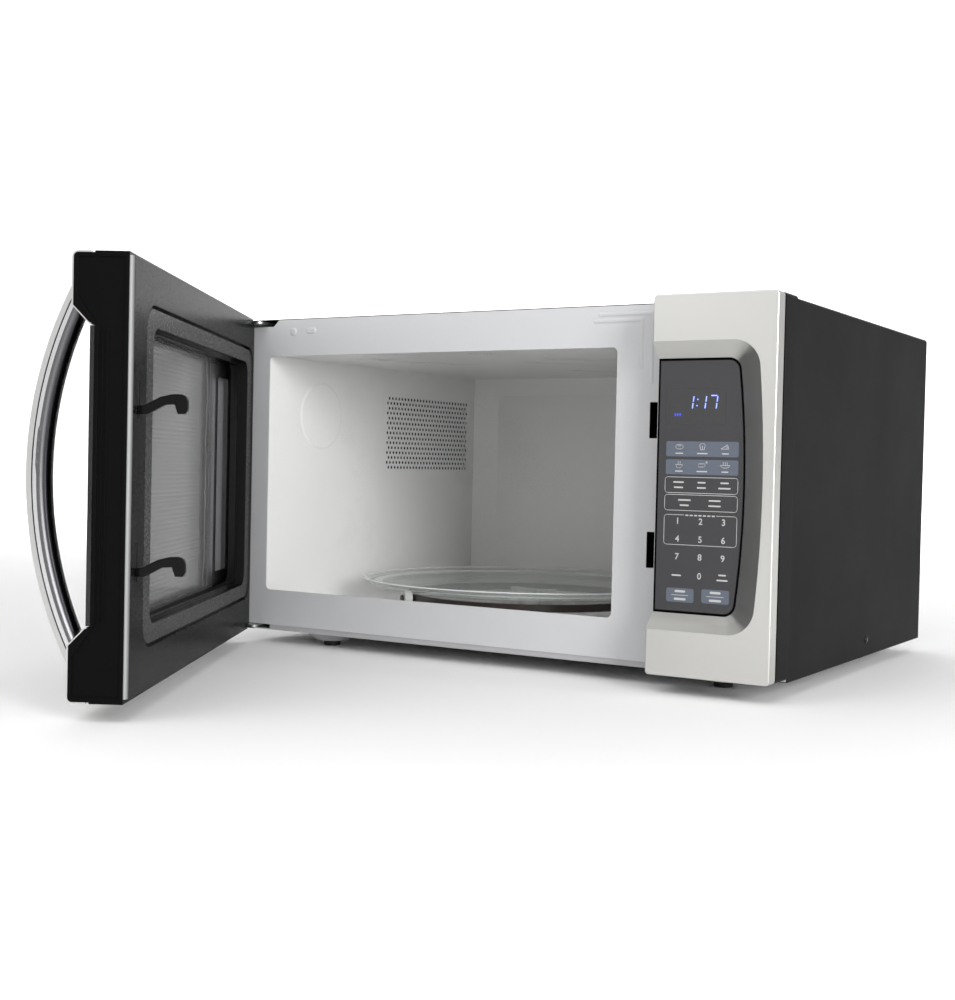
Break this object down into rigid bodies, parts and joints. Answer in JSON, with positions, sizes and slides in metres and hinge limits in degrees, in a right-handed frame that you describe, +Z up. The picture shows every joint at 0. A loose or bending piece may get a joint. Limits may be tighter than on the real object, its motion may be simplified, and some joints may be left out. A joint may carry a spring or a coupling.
{
  "type": "microwave oven",
  "caption": "Countertop microwave oven with a hinged door standing open, bowed vertical handle, glass turntable on a roller ring and a flat membrane keypad.",
  "frame": {"origin": "centre of the bounding box in plan, at the underside of the feet", "axes": "+Z up, +Y towards the back of the oven, +X towards the control panel"},
  "size_m": [0.5486, 0.7752, 0.297],
  "materials": {
    "painted_case": "fine matt texture",
    "zinc_panel": "satin zinc coat",
    "front_grey": "satin grey enamel",
    "cavity_grey": "satin enamel",
    "stainless": "fine horizontal brushing",
    "black_gloss": "gloss",
    "black_matt": "fine satin",
    "keypad": "satin film",
    "smoked": "smoked lens",
    "cover_grey": "gloss",
    "glass_dark": "tinted",
    "glass_clear": "clear",
    "film": "clear film",
    "mesh": "dark matt screen",
    "choke_metal": "dark enamel",
    "zinc": "zinc plated",
    "steel": "plain",
    "chrome": "bright",
    "brushed_cap": "brushed",
    "rubber": "matt",
    "mica": "mica sheet",
    "ring_brown": "satin",
    "white_plastic": "satin",
    "board": "circuit board",
    "switch_plastic": "moulded",
    "plunger": "moulded",
    "iron": "varnished laminations",
    "copper": "enamelled winding",
    "can": "bare"
  },
  "bodies": {
    "oven": {"outer_cover": "painted_case", "back_panel": "zinc_panel", "base_plate": "zinc_panel", "front_plate": "front_grey", "cavity_shell": "cavity_grey", "panel_skin": "stainless", "panel_frame": "black_matt", "keypad_overlay": "keypad", "display_lens": "smoked", "hinge_upper": "zinc", "hinge_lower": "zinc", "cover_screws": "steel", "foot_front_left": "rubber", "foot_front_right": "rubber", "foot_rear_left": "rubber", "foot_rear_right": "rubber", "waveguide_cover": "mica", "turntable_motor": "zinc_panel", "control_board": "board", "latch_housing": "switch_plastic", "cord_gland": "black_matt", "switch_upper": "switch_plastic", "switch_lower": "switch_plastic", "switch_monitor": "switch_plastic", "waveguide": "zinc_panel", "magnetron": "can", "transformer_core": "iron", "transformer_coil": "copper", "capacitor": "can", "diode": "black_matt", "lamp": "zinc_panel", "filter_board": "board", "thermal_cutouts": "steel", "fan_shroud": "white_plastic", "fan_motor": "iron"},
    "door": {"door_frame": "black_matt", "door_skin": "stainless", "door_window": "glass_dark", "door_choke": "choke_metal", "door_screen": "mesh", "choke_cover": "cover_grey", "window_film": "film", "handle_bar": "chrome", "handle_cap": "brushed_cap", "handle_screws": "steel", "hinge_bushes": "black_matt", "latch_spring": "steel"},
    "latch_hooks": {"latch_hooks": "black_gloss"},
    "turntable_drive": {"motor_shaft": "steel", "turntable_coupler": "white_plastic"},
    "glass_tray": {"glass_tray": "glass_clear"},
    "roller_ring": {"roller_ring": "ring_brown"},
    "ring_roller_1": {"ring_roller_1": "white_plastic"},
    "ring_roller_2": {"ring_roller_2": "white_plastic"},
    "ring_roller_3": {"ring_roller_3": "white_plastic"},
    "fan": {"fan_rotor": "white_plastic"},
    "plunger_upper": {"plunger_upper": "plunger"},
    "plunger_lower": {"plunger_lower": "plunger"},
    "plunger_monitor": {"plunger_monitor": "plunger"}
  },
  "joints": [
    {"name": "door_hinge", "type": "hinge", "parent": "oven", "child": "door", "pos_m": [-0.24356, 0.0041, 0.152], "axis": [0, 0, 1], "range_deg": [-40.2, 59.8]},
    {"name": "latch_lift", "type": "slide", "parent": "door", "child": "latch_hooks", "axis": [0, 0, 1], "range_m": [0, 0.006], "stiffness_N_per_m": 350, "springref_m": -0.002, "deforming": ["latch_spring"]},
    {"name": "turntable_spin", "type": "hinge", "parent": "oven", "child": "turntable_drive", "pos_m": [-0.04756, 0.1886, 0.042], "axis": [0, 0, 1], "continuous": true},
    {"name": "tray_lift", "type": "slide", "parent": "turntable_drive", "child": "glass_tray", "axis": [0, 0, 1], "range_m": [0, 0.03]},
    {"name": "ring_spin", "type": "hinge", "parent": "oven", "child": "roller_ring", "pos_m": [-0.04756, 0.1886, 0.042], "axis": [0, 0, 1], "continuous": true},
    {"name": "fan_spin", "type": "hinge", "parent": "oven", "child": "fan", "pos_m": [0.20344, 0.3616, 0.215], "axis": [0, 1, 0], "continuous": true},
    {"name": "roller_spin_1", "type": "hinge", "parent": "roller_ring", "child": "ring_roller_1", "pos_m": [-0.12166, 0.09168, 0.0426], "axis": [-0.6074, -0.7944, 0], "continuous": true},
    {"name": "roller_spin_2", "type": "hinge", "parent": "roller_ring", "child": "ring_roller_2", "pos_m": [0.07342, 0.17289, 0.0426], "axis": [0.9917, -0.1288, 0], "continuous": true},
    {"name": "roller_spin_3", "type": "hinge", "parent": "roller_ring", "child": "ring_roller_3", "pos_m": [-0.09444, 0.30123, 0.0426], "axis": [-0.3843, 0.9232, 0], "continuous": true},
    {"name": "plunger_press_upper", "type": "slide", "parent": "oven", "child": "plunger_upper", "axis": [1, 0, 0], "range_m": [0, 0.0012], "stiffness_N_per_m": 500, "springref_m": -0.0008},
    {"name": "plunger_press_lower", "type": "slide", "parent": "oven", "child": "plunger_lower", "axis": [1, 0, 0], "range_m": [0, 0.0012], "stiffness_N_per_m": 500, "springref_m": -0.0008},
    {"name": "plunger_press_monitor", "type": "slide", "parent": "oven", "child": "plunger_monitor", "axis": [-1, 0, 0], "range_m": [0, 0.0012], "stiffness_N_per_m": 500, "springref_m": -0.0008}
  ],
  "couplings": [
    {"joint": "ring_spin", "follows": "turntable_spin", "ratio": 0.5},
    {"joint": "roller_spin_1", "follows": "turntable_spin", "ratio": -8.2432},
    {"joint": "roller_spin_2", "follows": "turntable_spin", "ratio": -8.2432},
    {"joint": "roller_spin_3", "follows": "turntable_spin", "ratio": -8.2432}
  ]
}
